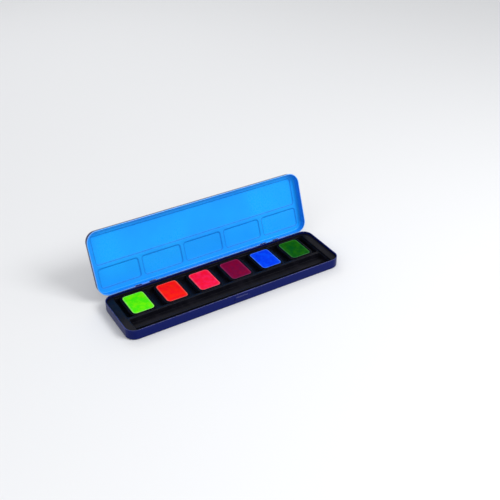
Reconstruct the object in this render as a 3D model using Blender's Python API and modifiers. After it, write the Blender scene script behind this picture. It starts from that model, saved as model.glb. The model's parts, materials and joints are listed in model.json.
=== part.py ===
"""A slim hinged tin of six watercolour pans, standing open.

Units are metres, +X runs along the box, +Y towards the hinge, +Z up. The origin is the centre of the
underside, which lies on Z = 0. The lid is drawn shut, about its hinge, and then turned open.
"""

import math

import bmesh
import bpy

MM = 0.001

# Sheet metal and the running clearance of every fit
SHEET = 0.3 * MM
CLEARANCE = 0.3 * MM
OVERRUN = 1.0 * MM

# Paint cakes, from lime at the left to green at the right, in linear colour
PAINTS = {
    "lime": (0.06, 0.84, 0.01),
    "orange": (1.0, 0.02, 0.02),
    "pink": (0.96, 0.01, 0.05),
    "crimson": (0.17, 0.0, 0.04),
    "blue": (0.0, 0.06, 0.82),
    "green": (0.0, 0.13, 0.01),
}
PAINT_LENGTH = 21.7 * MM
PAINT_DEPTH = 29.4 * MM
PAINT_CORNER = 3.6 * MM
PAINT_DROP = 0.6 * MM
PAINT_EDGE = 0.5 * MM
PAINT_DISH = 0.5 * MM
PAINT_DISH_RUN = 5.0 * MM

# Pans
PAN_WALL = 0.9 * MM
PAN_HEIGHT = 5.7 * MM
PAN_DRAFT = 0.4 * MM
PAN_FOOT_ROUND = 0.8 * MM

# Insert: a moulded tray with a collar round each pan and a gutter for the brush
TRAY_HEIGHT = 8.2 * MM
TRAY_WALL = 1.0 * MM
TRAY_FLOOR = 0.9 * MM
TRAY_DRAFT = 0.3 * MM
EDGE_ROUND = 0.3 * MM
END_DECK = 8.0 * MM
DECK_THICKNESS = 1.2 * MM
POCKET_CORNER = 3.0 * MM
POCKET_DRAFT = 0.4 * MM
POCKET_LEDGE = 0.3 * MM
COLLAR_WALL = 1.0 * MM
COLLAR_HEIGHT = 5.4 * MM
COLLAR_SINK = 0.4 * MM
COLLAR_SPACE = 8.3 * MM
ROW_END_SPACE = 5.65 * MM
DIVIDER_WALL = 1.4 * MM
DIVIDER_HEIGHT = 5.0 * MM
GUTTER_WIDTH = 21.8 * MM
RIB_HEIGHT = 1.5 * MM
RIB_THICKNESS = 1.2 * MM

# Base tin: its length and depth follow from the insert
BASE_HEIGHT = 10.9 * MM
CORNER_RADIUS = 10.0 * MM
PRESS_RADIUS = 1.5 * MM
RIM_ROLL_RADIUS = 0.4 * MM
RIM_ROLL_END = math.radians(250)

# Thumb bead pressed out of the front wall
BEAD_LENGTH = 17.6 * MM
BEAD_HEIGHT = 5.6 * MM
BEAD_DEPTH = 1.0 * MM
BEAD_CENTRE_HEIGHT = 5.6 * MM

# Lid: height from its rim to its top, how far it drops over the base, and the wire roll of its rim
LID_HEIGHT = 8.0 * MM
LID_OVERLAP = 2.5 * MM
LID_ROLL_BORE = 0.15 * MM
LID_ROLL_END = math.radians(45)
LID_OPEN_ANGLE = math.radians(110)

# Mixing wells pressed into the lid: a row along the hinge and one long field
WELL_COUNT = 5
WELL_BORDER = 3.2 * MM
WELL_RIDGE = 2.4 * MM
WELL_PRESS = 0.8 * MM
WELL_SLOPE = 1.0 * MM
WELL_CORNER = 3.0 * MM
WELL_ROW_SHARE = 0.41

# Hinges: a wire pin in curls of the two sheets
HINGE_SPACING = 140.0 * MM
KNUCKLE_OUTER = 6.0 * MM
KNUCKLE_MIDDLE = 8.0 * MM
PIN_RADIUS = 0.65 * MM
PIN_PROUD = 0.4 * MM
PIN_DOME = 0.2 * MM
RIM_BELOW_PIN = 0.4 * MM
LEAF_LENGTH = 3.2 * MM
LEAF_SINK = 0.1 * MM
BASE_CURL = (math.radians(200), math.radians(-120))
LID_CURL = (math.radians(180), math.radians(480))

# Facets of the round forms
CORNER_STEPS = 8
SMALL_CORNER_STEPS = 4
PRESS_STEPS = 3
BEAD_STEPS = 20
PIN_STEPS = 16
ROLL_STEP = math.radians(45)
CURL_STEP = math.radians(30)
SHARP_ANGLE = math.radians(40)
LEAST_CORNER_SHARE = 0.2

# Fit of cake, pan, socket and collar, from the inside out
PAN_HALF_X = PAINT_LENGTH / 2 + CLEARANCE + PAN_WALL
PAN_HALF_Y = PAINT_DEPTH / 2 + CLEARANCE + PAN_WALL
PAN_CORNER = PAINT_CORNER + CLEARANCE + PAN_WALL
COLLAR_HALF_X = PAN_HALF_X + CLEARANCE + COLLAR_WALL
COLLAR_HALF_Y = PAN_HALF_Y + CLEARANCE + COLLAR_WALL
COLLAR_CORNER = PAN_CORNER + CLEARANCE + COLLAR_WALL

# Plan of the insert, and of the tin that holds it
PAN_PITCH = 2 * COLLAR_HALF_X + COLLAR_SPACE
PAN_ROW_HALF_X = PAN_PITCH * (len(PAINTS) - 1) / 2
POCKET_HALF_X = PAN_ROW_HALF_X + COLLAR_HALF_X + ROW_END_SPACE
BAY_DEPTH = 2 * (COLLAR_HALF_Y - COLLAR_SINK)
TRAY_HALF_X = POCKET_HALF_X + END_DECK
TRAY_HALF_Y = (BAY_DEPTH + DIVIDER_WALL + GUTTER_WIDTH) / 2 + TRAY_WALL
TRAY_INSIDE_RIM = 2 * RIM_ROLL_RADIUS + CLEARANCE
TRAY_CORNER = CORNER_RADIUS - TRAY_INSIDE_RIM
BASE_HALF_X = TRAY_HALF_X + TRAY_INSIDE_RIM
BASE_HALF_Y = TRAY_HALF_Y + TRAY_INSIDE_RIM
LID_HALF_X = BASE_HALF_X + CLEARANCE + SHEET
LID_HALF_Y = BASE_HALF_Y + CLEARANCE + SHEET

BAY_REAR = TRAY_HALF_Y - TRAY_WALL
DIVIDER_REAR = BAY_REAR - BAY_DEPTH
DIVIDER_FRONT = DIVIDER_REAR - DIVIDER_WALL
GUTTER_FRONT = DIVIDER_FRONT - GUTTER_WIDTH
PAN_ROW_Y = (BAY_REAR + DIVIDER_REAR) / 2

# Levels
TRAY_BOTTOM = SHEET + CLEARANCE
TRAY_FLOOR_TOP = TRAY_BOTTOM + TRAY_FLOOR
TRAY_TOP = TRAY_BOTTOM + TRAY_HEIGHT
DIVIDER_TOP = TRAY_FLOOR_TOP + DIVIDER_HEIGHT
COLLAR_TOP = TRAY_FLOOR_TOP + COLLAR_HEIGHT
PAN_BOTTOM = TRAY_FLOOR_TOP + CLEARANCE

# Hinge: the curl is the lid's rear sheet, turned round the pin
CURL_RADIUS = PIN_RADIUS + CLEARANCE + SHEET / 2
KNUCKLE_SWEEP = CURL_RADIUS + SHEET / 2 + CLEARANCE
HINGE_Y = LID_HALF_Y - SHEET / 2 + CURL_RADIUS
HINGE_Z = BASE_HEIGHT - LID_OVERLAP + RIM_BELOW_PIN
HINGE_HALF_LENGTH = KNUCKLE_MIDDLE / 2 + CLEARANCE + KNUCKLE_OUTER


def clear_scene():
    for obj in list(bpy.data.objects):
        bpy.data.objects.remove(obj)


def make_collection(name):
    collection = bpy.data.collections.new(name)
    bpy.context.scene.collection.children.link(collection)
    return collection


# Finishes

def make_material(name, colour, roughness, metallic=0.0, coat=0.0):
    material = bpy.data.materials.new(name)
    material.use_nodes = True
    shader = material.node_tree.nodes["Principled BSDF"]
    shader.inputs["Base Color"].default_value = (*colour, 1.0)
    shader.inputs["Roughness"].default_value = roughness
    shader.inputs["Metallic"].default_value = metallic
    shader.inputs["Coat Weight"].default_value = coat
    return material


def lacquer(name):
    return make_material(name, (0.012, 0.013, 0.03), 0.16, coat=0.6)


def steel(name):
    return make_material(name, (0.55, 0.55, 0.56), 0.3, metallic=1.0)


def moulded(name):
    return make_material(name, (0.014, 0.014, 0.016), 0.38)


def watercolour(name, colour):
    return make_material(name, colour, 0.62)


# Meshes

def rounded_rectangle(half_x, half_y, corner, steps):
    """Points counterclockwise round a rectangle with round corners, centred on zero."""
    points = []
    for turn, (side_x, side_y) in enumerate(((1, 1), (-1, 1), (-1, -1), (1, -1))):
        for step in range(steps + 1):
            angle = math.pi / 2 * (turn + step / steps)
            x = side_x * (half_x - corner) + corner * math.cos(angle)
            y = side_y * (half_y - corner) + corner * math.sin(angle)
            points.append((x, y))
    return points


def add_ring(bm, outline, inset, height, steps, centre=(0, 0)):
    """The closed loop of edges of one level: the outline drawn in by inset."""
    half_x, half_y, corner = outline
    round_off = max(corner - inset, corner * LEAST_CORNER_SHARE)
    places = rounded_rectangle(half_x - inset, half_y - inset, round_off, steps)
    verts = [bm.verts.new((centre[0] + x, centre[1] + y, height)) for x, y in places]
    return [bm.edges.new((vert, verts[place - 1])) for place, vert in enumerate(verts)]


def bridge(bm, rings):
    for lower, upper in zip(rings, rings[1:]):
        bmesh.ops.bridge_loops(bm, edges=lower + upper)


def cap(bm, ring):
    bmesh.ops.contextual_create(bm, geom=ring)


def add_rings(bm, outline, levels, steps, centre=(0, 0)):
    """A ring of the outline at each level, given as (inset, height)."""
    return [add_ring(bm, outline, inset, height, steps, centre) for inset, height in levels]


def add_block(bm, outline, levels, steps, centre=(0, 0)):
    """A solid lofted through the levels, closed at both ends."""
    rings = add_rings(bm, outline, levels, steps, centre)
    bridge(bm, rings)
    cap(bm, rings[0])
    cap(bm, rings[-1])


def arc_levels(centre_inset, centre_height, radius, start, end):
    """Levels along an arc, angles measured from straight out of the box, turning up."""
    count = round(abs(end - start) / ROLL_STEP)
    angles = [start + (end - start) * place / count for place in range(count + 1)]
    return [(centre_inset - radius * math.cos(a), centre_height + radius * math.sin(a)) for a in angles]


def face_up(bm, up):
    """Makes the normals of an open surface agree, with its largest flat face up or down."""
    bmesh.ops.recalc_face_normals(bm, faces=bm.faces)
    flat = max(bm.faces, key=lambda face: face.calc_area() * abs(face.normal.z))
    if (flat.normal.z > 0) != up:
        bmesh.ops.reverse_faces(bm, faces=bm.faces)


def mesh_of(bm, name):
    mesh = bpy.data.meshes.new(name)
    bm.to_mesh(mesh)
    bm.free()
    mesh.shade_smooth()
    mesh.set_sharp_from_angle(angle=SHARP_ANGLE)
    return mesh


def solid_of(bm, name):
    """The mesh of a closed solid, its faces turned out."""
    bmesh.ops.recalc_face_normals(bm, faces=bm.faces)
    if bm.calc_volume(signed=True) < 0:
        bmesh.ops.reverse_faces(bm, faces=bm.faces)
    return mesh_of(bm, name)


def put(name, mesh, material, location=(0, 0, 0), parent=None):
    """Adds a sub-part, with a material of its own even where its mesh is shared."""
    obj = bpy.data.objects.new(name, mesh)
    parts.objects.link(obj)
    obj.location = location
    obj.parent = parent
    if not mesh.materials:
        mesh.materials.append(None)
    obj.material_slots[0].link = "OBJECT"
    obj.material_slots[0].material = material
    return obj


def put_helper(name, mesh, location=(0, 0, 0), parent=None):
    """Adds a solid that a sub-part is cut by or joined to."""
    obj = bpy.data.objects.new(name, mesh)
    cutters.objects.link(obj)
    obj.location = location
    obj.parent = parent
    obj.hide_render = True
    obj.display_type = "WIRE"
    return obj


def thicken(obj, thickness, offset=-1):
    """Gives an open surface its wall: offset -1 puts it on the side away from the normals."""
    wall = obj.modifiers.new("wall", "SOLIDIFY")
    wall.thickness = thickness
    wall.offset = offset
    wall.use_even_offset = True
    wall.use_quality_normals = True


def combine(obj, other, operation):
    change = obj.modifiers.new(other.name, "BOOLEAN")
    change.operation = operation
    change.object = other


# Pressed tins

def press_levels(top, downwards):
    """Levels of the rounded edge between a flat of the tin and its wall, from the flat outwards."""
    side = -1 if downwards else 1
    angles = [math.pi / 2 * step / PRESS_STEPS for step in range(PRESS_STEPS + 1)]
    return [
        (PRESS_RADIUS * (1 - math.sin(a)), top + side * PRESS_RADIUS * (1 - math.cos(a)))
        for a in angles
    ]


def put_knuckle(name, leaf_y, leaf_z, curl, span, location=(0, 0, 0), parent=None):
    """A strip of sheet of the given span along X: a flat leaf, then a curl round the pin."""
    start, end = curl
    count = round(abs(end - start) / CURL_STEP)
    angles = [start + (end - start) * place / count for place in range(count + 1)]
    path = [(leaf_y, z) for z in leaf_z]
    path += [(CURL_RADIUS * math.cos(a), CURL_RADIUS * math.sin(a)) for a in angles]

    bm = bmesh.new()
    low_x, high_x = span
    verts = [bm.verts.new((low_x, y, z)) for y, z in path]
    edges = [bm.edges.new(pair) for pair in zip(verts, verts[1:])]
    swept = bmesh.ops.extrude_edge_only(bm, edges=edges)["geom"]
    moved = [item for item in swept if isinstance(item, bmesh.types.BMVert)]
    bmesh.ops.translate(bm, vec=(high_x - low_x, 0, 0), verts=moved)
    bmesh.ops.recalc_face_normals(bm, faces=bm.faces)
    knuckle = put_helper(name, mesh_of(bm, name), location, parent)
    thicken(knuckle, SHEET, offset=0)
    return knuckle


def hinge_places():
    return (("left", -HINGE_SPACING / 2), ("right", HINGE_SPACING / 2))


def press_bead(base):
    """Presses the thumb bead out of the front wall: half an ellipsoid on, and its hollow out."""
    place = (0, -BASE_HALF_Y, BEAD_CENTRE_HEIGHT)
    for name, shrink, operation in (("bead", 0, "UNION"), ("bead_hollow", SHEET, "DIFFERENCE")):
        bm = bmesh.new()
        bmesh.ops.create_uvsphere(bm, u_segments=BEAD_STEPS, v_segments=BEAD_STEPS // 2, radius=1)
        half = (BEAD_LENGTH / 2 - shrink, BEAD_DEPTH - shrink, BEAD_HEIGHT / 2 - shrink)
        bmesh.ops.scale(bm, vec=half, verts=bm.verts)
        if operation == "UNION":
            cut = bmesh.ops.bisect_plane(
                bm, geom=[*bm.verts, *bm.edges, *bm.faces],
                plane_co=(0, SHEET / 2, 0), plane_no=(0, 1, 0), clear_outer=True,
            )
            cap(bm, [item for item in cut["geom_cut"] if isinstance(item, bmesh.types.BMEdge)])
        combine(base, put_helper(name, solid_of(bm, name), place), operation)


def make_base():
    bm = bmesh.new()
    levels = press_levels(0, downwards=False)
    roll_height = BASE_HEIGHT - RIM_ROLL_RADIUS
    levels += arc_levels(RIM_ROLL_RADIUS, roll_height, RIM_ROLL_RADIUS, 0, RIM_ROLL_END)
    rings = add_rings(bm, (BASE_HALF_X, BASE_HALF_Y, CORNER_RADIUS), levels, CORNER_STEPS)
    bridge(bm, rings)
    cap(bm, rings[0])
    face_up(bm, up=False)
    base = put("base_tin", mesh_of(bm, "base_tin"), lacquer("base_tin"))
    thicken(base, SHEET)

    leaf_y = BASE_HALF_Y - HINGE_Y + SHEET / 2 - LEAF_SINK
    leaf_top = -CURL_RADIUS - SHEET / 2
    near, far = KNUCKLE_MIDDLE / 2 + CLEARANCE, HINGE_HALF_LENGTH
    for side, hinge_x in hinge_places():
        spans = ((hinge_x - far, hinge_x - near), (hinge_x + near, hinge_x + far))
        for place, span in enumerate(spans, 1):
            knuckle = put_knuckle(
                f"base_knuckle_{side}_{place}", leaf_y, (leaf_top - LEAF_LENGTH, leaf_top),
                BASE_CURL, span, location=(0, HINGE_Y, HINGE_Z),
            )
            combine(base, knuckle, "UNION")
    press_bead(base)
    return base


def well_outlines(half_x, half_y):
    """(outline, centre) of the long field and the wells, inside a flat of the given half sizes."""
    low_y, high_y = -half_y + WELL_BORDER, half_y - WELL_BORDER
    run = high_y - low_y - WELL_RIDGE
    well_half_y = run * WELL_ROW_SHARE / 2
    field_half_y = run / 2 - well_half_y
    length = 2 * (half_x - WELL_BORDER)
    well_half_x = (length - (WELL_COUNT - 1) * WELL_RIDGE) / WELL_COUNT / 2
    pitch = 2 * well_half_x + WELL_RIDGE
    wells = [((length / 2, field_half_y, WELL_CORNER), (0, low_y + field_half_y))]
    for place in range(WELL_COUNT):
        x = (place - (WELL_COUNT - 1) / 2) * pitch
        wells.append(((well_half_x, well_half_y, WELL_CORNER), (x, high_y - well_half_y)))
    return wells


def add_lid_flat(bm, rim_ring, top, middle):
    """Fills the lid's flat from its edge inwards, with its wells pressed in."""
    edges = list(rim_ring)
    wells = []
    for outline, (x, y) in well_outlines(LID_HALF_X - PRESS_RADIUS, LID_HALF_Y - PRESS_RADIUS):
        place = (x, middle + y)
        brim = add_ring(bm, outline, 0, top, SMALL_CORNER_STEPS, place)
        wells.append((outline, place, brim))
        edges += brim
    bmesh.ops.triangle_fill(bm, use_beauty=True, edges=edges, normal=(0, 0, 1))
    for outline, place, brim in wells:
        slope = [(WELL_SLOPE / 2, top + WELL_PRESS / 2), (WELL_SLOPE, top + WELL_PRESS)]
        rings = [brim, *add_rings(bm, outline, slope, SMALL_CORNER_STEPS, place)]
        bridge(bm, rings)
        cap(bm, rings[-1])


def make_lid():
    """The lid, drawn shut with the hinge axis at its origin, then turned open."""
    rim = -RIM_BELOW_PIN
    top = rim + LID_HEIGHT
    middle = -HINGE_Y
    outline = (LID_HALF_X, LID_HALF_Y, CORNER_RADIUS + CLEARANCE + SHEET)
    bm = bmesh.new()
    levels = press_levels(top, downwards=True)
    roll_height = rim + LID_ROLL_BORE + SHEET
    levels += arc_levels(-LID_ROLL_BORE, roll_height, LID_ROLL_BORE, -math.pi, LID_ROLL_END)
    rings = add_rings(bm, outline, levels, CORNER_STEPS, (0, middle))
    bridge(bm, rings)
    add_lid_flat(bm, rings[0], top, middle)
    face_up(bm, up=True)
    lid = put("lid_tin", mesh_of(bm, "lid_tin"), lacquer("lid_tin"), (0, HINGE_Y, HINGE_Z))
    lid.rotation_euler = (-LID_OPEN_ANGLE, 0, 0)
    thicken(lid, SHEET)

    notch_half = HINGE_HALF_LENGTH + PIN_PROUD + CLEARANCE
    leaf_z = (KNUCKLE_SWEEP + LEAF_LENGTH, KNUCKLE_SWEEP)
    for side, hinge_x in hinge_places():
        bm = bmesh.new()
        bmesh.ops.create_cube(bm, size=2)
        height = KNUCKLE_SWEEP - rim + OVERRUN
        bmesh.ops.scale(bm, vec=(notch_half, KNUCKLE_SWEEP, height / 2), verts=bm.verts)
        notch = put_helper(f"notch_{side}", solid_of(bm, "notch"), parent=lid)
        notch.location = (hinge_x, 0, KNUCKLE_SWEEP - height / 2)
        combine(lid, notch, "DIFFERENCE")
        span = (hinge_x - KNUCKLE_MIDDLE / 2, hinge_x + KNUCKLE_MIDDLE / 2)
        leaf_y = -CURL_RADIUS + LEAF_SINK
        knuckle = put_knuckle(f"lid_knuckle_{side}", leaf_y, leaf_z, LID_CURL, span, parent=lid)
        combine(lid, knuckle, "UNION")
    return lid


def make_pins():
    """Wire pins: a profile with eased ends, turned about Z and laid along X."""
    half = HINGE_HALF_LENGTH + PIN_PROUD
    profile = [(0, half), (PIN_RADIUS - PIN_DOME, half), (PIN_RADIUS, half - PIN_DOME)]
    profile += [(radius, -height) for radius, height in reversed(profile)]
    for side, hinge_x in hinge_places():
        bm = bmesh.new()
        verts = [bm.verts.new((radius, 0, height)) for radius, height in profile]
        for pair in zip(verts, verts[1:]):
            bm.edges.new(pair)
        name = f"hinge_pin_{side}"
        pin = put(name, mesh_of(bm, "hinge_pin"), steel(name), (hinge_x, HINGE_Y, HINGE_Z))
        pin.rotation_euler = (0, math.pi / 2, 0)
        turn = pin.modifiers.new("turned", "SCREW")
        turn.angle = 2 * math.pi
        turn.steps = turn.render_steps = PIN_STEPS
        turn.use_merge_vertices = True
        turn.merge_threshold = PIN_DOME / PIN_STEPS
        turn.use_smooth_shade = True


# Insert, pans and paint

def put_pocket(name, front, rear, levels):
    """A pocket of the insert, cut from above, between two places along Y."""
    bm = bmesh.new()
    outline = (POCKET_HALF_X, (rear - front) / 2, POCKET_CORNER)
    add_block(bm, outline, levels, SMALL_CORNER_STEPS, (0, (front + rear) / 2))
    return put_helper(name, solid_of(bm, name))


def pan_places():
    """(colour, x) of each pan, from left to right."""
    return [(colour, place * PAN_PITCH - PAN_ROW_HALF_X) for place, colour in enumerate(PAINTS)]


def put_collars():
    """The six collars, walls of the sockets, with their feet in the floor and their edges eased."""
    outline = (COLLAR_HALF_X, COLLAR_HALF_Y, COLLAR_CORNER)
    levels = [(COLLAR_WALL / 2, TRAY_FLOOR_TOP - COLLAR_SINK), (COLLAR_WALL / 2, COLLAR_TOP)]
    bm = bmesh.new()
    for _, x in pan_places():
        bridge(bm, add_rings(bm, outline, levels, SMALL_CORNER_STEPS, (x, PAN_ROW_Y)))
    bmesh.ops.recalc_face_normals(bm, faces=bm.faces)
    collars = put_helper("collars", mesh_of(bm, "collars"))
    thicken(collars, COLLAR_WALL, offset=0)
    eased = collars.modifiers.new("eased", "BEVEL")
    eased.width = EDGE_ROUND
    eased.segments = 1
    eased.limit_method = "ANGLE"
    eased.angle_limit = SHARP_ANGLE
    return collars


def put_rib():
    """The low rib along the middle of the gutter, which keeps a brush from rolling."""
    top = TRAY_FLOOR_TOP + RIB_HEIGHT
    levels = [(0, TRAY_FLOOR_TOP - COLLAR_SINK), (0, top - EDGE_ROUND), (EDGE_ROUND, top)]
    outline = (POCKET_HALF_X - POCKET_CORNER, RIB_THICKNESS / 2, RIB_THICKNESS / 2)
    bm = bmesh.new()
    add_block(bm, outline, levels, SMALL_CORNER_STEPS, (0, (GUTTER_FRONT + DIVIDER_FRONT) / 2))
    return put_helper("rib", solid_of(bm, "rib"))


def put_deck_cores():
    """The hollows under the two end decks, which leave a deck of even thickness."""
    half_x = END_DECK / 2 - TRAY_WALL
    outline = (half_x, TRAY_HALF_Y - TRAY_CORNER, min(half_x, POCKET_CORNER) / 2)
    levels = [(0, TRAY_BOTTOM - OVERRUN), (0, TRAY_BOTTOM), (POCKET_DRAFT, TRAY_TOP - DECK_THICKNESS)]
    bm = bmesh.new()
    for side in (-1, 1):
        add_block(bm, outline, levels, SMALL_CORNER_STEPS, (side * (TRAY_HALF_X - END_DECK / 2), 0))
    return put_helper("deck_cores", solid_of(bm, "deck_cores"))


def make_tray():
    bm = bmesh.new()
    levels = [(TRAY_DRAFT, TRAY_BOTTOM), (0, TRAY_TOP - EDGE_ROUND), (EDGE_ROUND, TRAY_TOP)]
    add_block(bm, (TRAY_HALF_X, TRAY_HALF_Y, TRAY_CORNER), levels, CORNER_STEPS)
    tray = put("tray_insert", solid_of(bm, "tray_insert"), moulded("tray_insert"))

    above = TRAY_TOP + OVERRUN
    mouth_levels = [(POCKET_LEDGE, DIVIDER_TOP), (0, TRAY_TOP), (0, above)]
    ledge = 2 * POCKET_LEDGE
    deep_levels = [(ledge + POCKET_DRAFT, TRAY_FLOOR_TOP), (ledge, DIVIDER_TOP), (ledge, above)]
    combine(tray, put_pocket("mouth", GUTTER_FRONT, BAY_REAR, mouth_levels), "DIFFERENCE")
    combine(tray, put_pocket("bay", DIVIDER_REAR, BAY_REAR, deep_levels), "DIFFERENCE")
    combine(tray, put_pocket("gutter", GUTTER_FRONT, DIVIDER_FRONT, deep_levels), "DIFFERENCE")
    combine(tray, put_deck_cores(), "DIFFERENCE")
    combine(tray, put_collars(), "UNION")
    combine(tray, put_rib(), "UNION")
    return tray


def pan_draft_at(height):
    """How far the pan's wall has drawn in at a height above its underside."""
    return PAN_DRAFT * (1 - height / PAN_HEIGHT)


def pan_mesh():
    foot = PAN_FOOT_ROUND
    bm = bmesh.new()
    levels = [(pan_draft_at(0) + foot, 0), (pan_draft_at(foot), foot), (0, PAN_HEIGHT)]
    rings = add_rings(bm, (PAN_HALF_X, PAN_HALF_Y, PAN_CORNER), levels, SMALL_CORNER_STEPS)
    bridge(bm, rings)
    cap(bm, rings[0])
    face_up(bm, up=False)
    return mesh_of(bm, "pan")


def paint_mesh():
    """A cake of paint in its pan's own frame, with a soft edge and a worn, dished top."""
    low, top = PAN_WALL + CLEARANCE, PAN_HEIGHT - PAINT_DROP
    foot = PAN_FOOT_ROUND / 2
    draft = pan_draft_at(top)
    levels = [
        (pan_draft_at(low) + foot, low), (pan_draft_at(low + foot), low + foot),
        (draft, top - PAINT_EDGE), (draft + PAINT_EDGE, top),
        (PAINT_DISH_RUN / 2, top - PAINT_DISH / 2), (PAINT_DISH_RUN, top - PAINT_DISH),
    ]
    bm = bmesh.new()
    add_block(bm, (PAINT_LENGTH / 2, PAINT_DEPTH / 2, PAINT_CORNER), levels, SMALL_CORNER_STEPS)
    return solid_of(bm, "paint")


def make_pans(tray):
    """Six alike pans in the insert's collars, each with its own colour of cake."""
    pan_shape, paint_shape = pan_mesh(), paint_mesh()
    for colour, x in pan_places():
        place = (x, PAN_ROW_Y, PAN_BOTTOM)
        pan = put(f"pan_{colour}", pan_shape, moulded(f"pan_{colour}"), place, tray)
        thicken(pan, PAN_WALL)
        paint = f"paint_{colour}"
        put(paint, paint_shape, watercolour(paint, PAINTS[colour]), parent=pan)


clear_scene()
parts = make_collection("paint_box")
cutters = make_collection("cutters")
make_base()
make_lid()
make_pins()
make_pans(make_tray())
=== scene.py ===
"""The looks of a slim hinged tin of six watercolour pans, standing open.

Lengths are in metres, +X runs along the box, +Y towards the hinge and +Z up, in the frame of the
solids. The lid is modelled shut, over the base, and then swung open about its hinge.
"""

import json
import logging
import math
from collections.abc import Callable, Sequence
from dataclasses import dataclass
from enum import Enum
from typing import Any

import bmesh
import bpy
from mathutils import Matrix, Vector, noise


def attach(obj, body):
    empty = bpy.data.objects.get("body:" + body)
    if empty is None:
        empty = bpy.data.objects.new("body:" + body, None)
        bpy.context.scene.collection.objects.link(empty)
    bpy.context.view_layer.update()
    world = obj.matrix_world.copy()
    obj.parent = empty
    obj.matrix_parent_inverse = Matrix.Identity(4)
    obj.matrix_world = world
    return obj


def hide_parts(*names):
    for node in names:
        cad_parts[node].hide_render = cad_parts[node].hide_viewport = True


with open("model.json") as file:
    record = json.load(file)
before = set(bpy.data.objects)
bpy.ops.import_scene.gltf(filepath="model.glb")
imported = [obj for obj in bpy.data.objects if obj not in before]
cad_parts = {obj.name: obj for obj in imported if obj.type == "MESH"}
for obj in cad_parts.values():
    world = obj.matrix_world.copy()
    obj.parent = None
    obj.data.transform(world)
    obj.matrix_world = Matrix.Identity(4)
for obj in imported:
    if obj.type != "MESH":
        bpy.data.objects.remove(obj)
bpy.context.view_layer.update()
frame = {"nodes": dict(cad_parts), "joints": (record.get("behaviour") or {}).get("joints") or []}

log = logging.getLogger("paint_box")

MM = 0.001
MERGE = 0.001 * MM
FLAT = 0.9995

# The angles in degrees past which an edge stays sharp
SHEET_ANGLE = 40.0
MOULDED_ANGLE = 50.0
CAKE_ANGLE = 60.0

# The places of a Mix node's two colours and of its result among its sockets
MIX_FIRST, MIX_SECOND, MIX_RESULT = 6, 7, 2

Colour = tuple[float, float, float]
Point = tuple[float, float, float]
Test = Callable[[Any], bool]


class Side(Enum):
    """The two hinges of the lid, by the end of the box that they are nearer to."""

    LEFT = -1
    RIGHT = 1


class Pick(Enum):
    """What edit mode selects."""

    VERT = "verts"
    EDGE = "edges"
    FACE = "faces"


class Paint(Enum):
    """The six colours in their order along the box, as linear face, edge and fleck colours."""

    LIME = ((0.060, 0.84, 0.0), (0.38, 0.98, 0.16), (0.20, 0.92, 0.0))
    ORANGE = ((1.0, 0.003, 0.007), (1.0, 0.15, 0.11), (1.0, 0.024, 0.0))
    PINK = ((0.98, 0.004, 0.034), (1.0, 0.15, 0.18), (1.0, 0.016, 0.110))
    CRIMSON = ((0.165, 0.0, 0.032), (0.34, 0.03, 0.12), (0.24, 0.0, 0.026))
    BLUE = ((0.0, 0.040, 0.78), (0.07, 0.24, 0.98), (0.0, 0.085, 0.90))
    GREEN = ((0.0, 0.078, 0.001), (0.05, 0.25, 0.05), (0.012, 0.130, 0.0))

    @property
    def label(self) -> str:
        """The colour's word in the names of its pan and its paint."""
        return self.name.lower()


# Modelling by hand


def deselect() -> None:
    """Goes back to object mode and leaves no object selected."""
    if bpy.context.mode != "OBJECT":
        bpy.ops.object.mode_set(mode="OBJECT")
    bpy.ops.object.select_all(action="DESELECT")


def select(obj: bpy.types.Object) -> None:
    """Selects one object alone and makes it active.

    Args:
        obj: The object to work on.
    """
    deselect()
    obj.select_set(True)
    bpy.context.view_layer.objects.active = obj


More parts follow.
